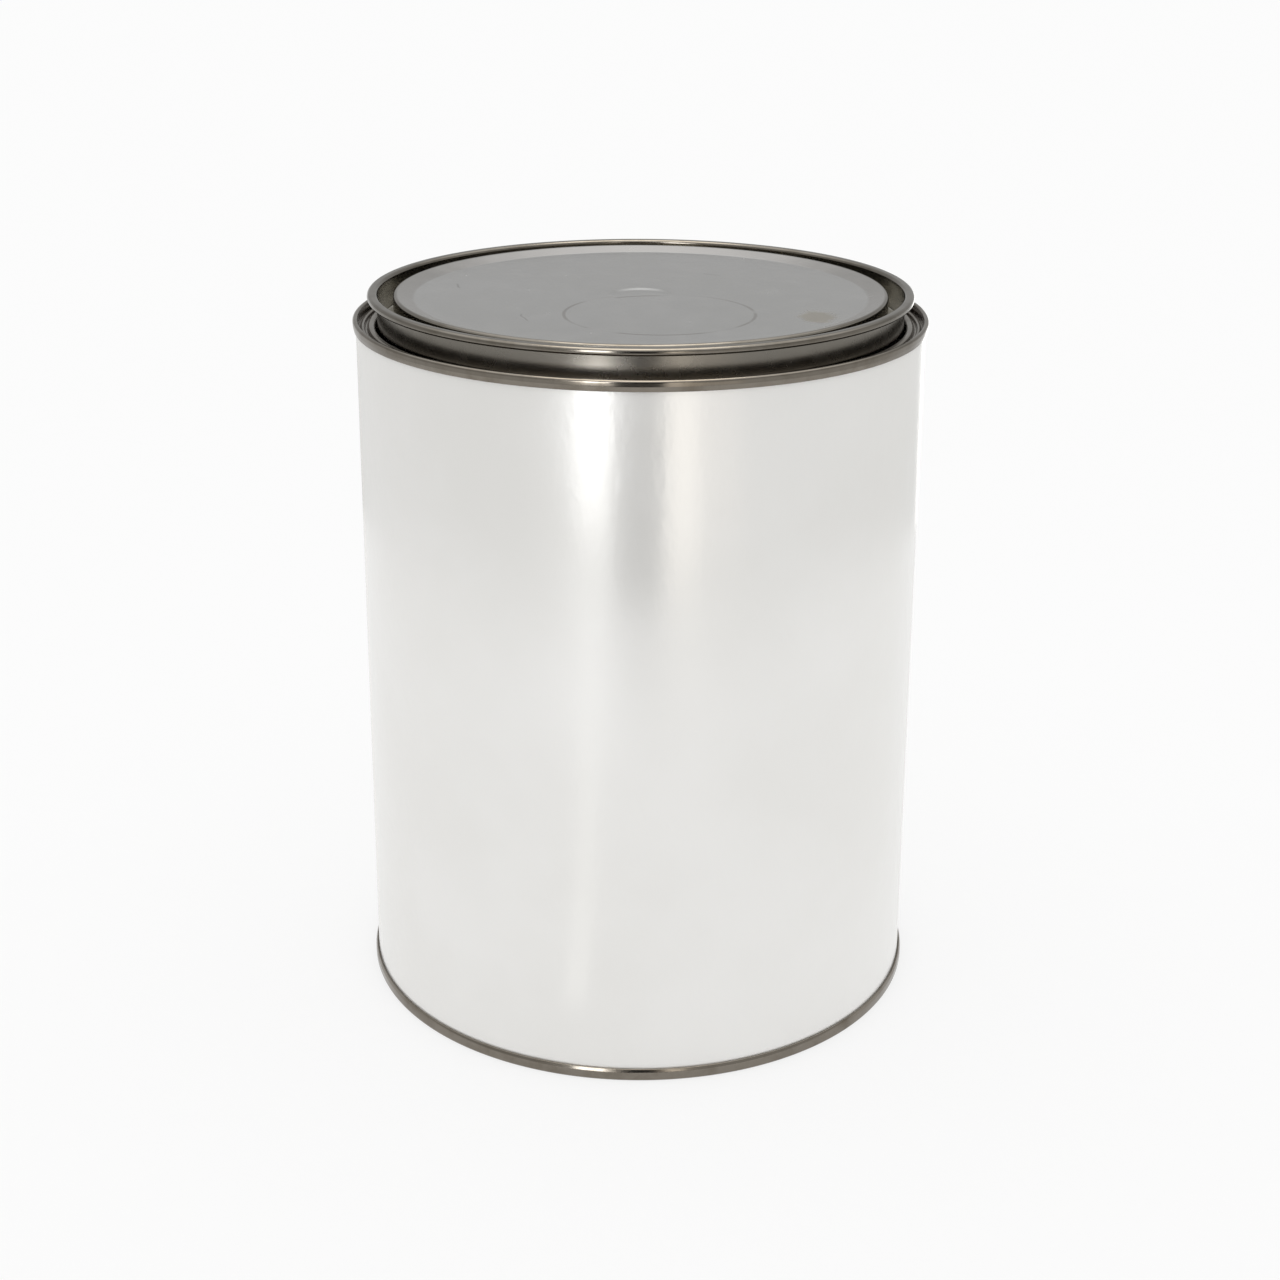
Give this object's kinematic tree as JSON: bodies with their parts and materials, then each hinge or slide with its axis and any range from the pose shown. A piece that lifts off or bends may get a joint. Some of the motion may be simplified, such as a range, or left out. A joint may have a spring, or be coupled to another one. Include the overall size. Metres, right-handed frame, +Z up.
{
  "type": "paint can",
  "caption": "Round lever-lid tin of seamed tinplate: straight welded body, recessed bottom end, grooved lever ring and a plug lid that lifts off.",
  "frame": {"origin": "centre of the foot, on the surface that the can stands on", "axes": "+Z up along the can's axis; the body's side weld is at +Y, the back"},
  "size_m": [0.182, 0.182, 0.2301],
  "materials": {
    "body_tinplate": "satin silver-white tinplate with a fine stone grain, half way between a mirror and matte",
    "end_tinplate": "bare dark bright tinplate, warm grey-brown, drawn smooth at the bends",
    "lid_tinplate": "grey tinplate: dull field with faint scratches and handling marks, warmer and darker at the rim",
    "seam_compound": "matte cured sealing compound"
  },
  "bodies": {
    "can": {"body_shell": "body_tinplate", "bottom_end": "end_tinplate", "bottom_seam_compound": "seam_compound", "lever_ring": "end_tinplate", "ring_seam_compound": "seam_compound"},
    "lid": {"lever_lid": "lid_tinplate"}
  },
  "joints": [
    {"name": "lid_lift", "type": "slide", "parent": "can", "child": "lid", "axis": [0, 0, 1], "range_m": [-0.00735, 0.06]}
  ]
}
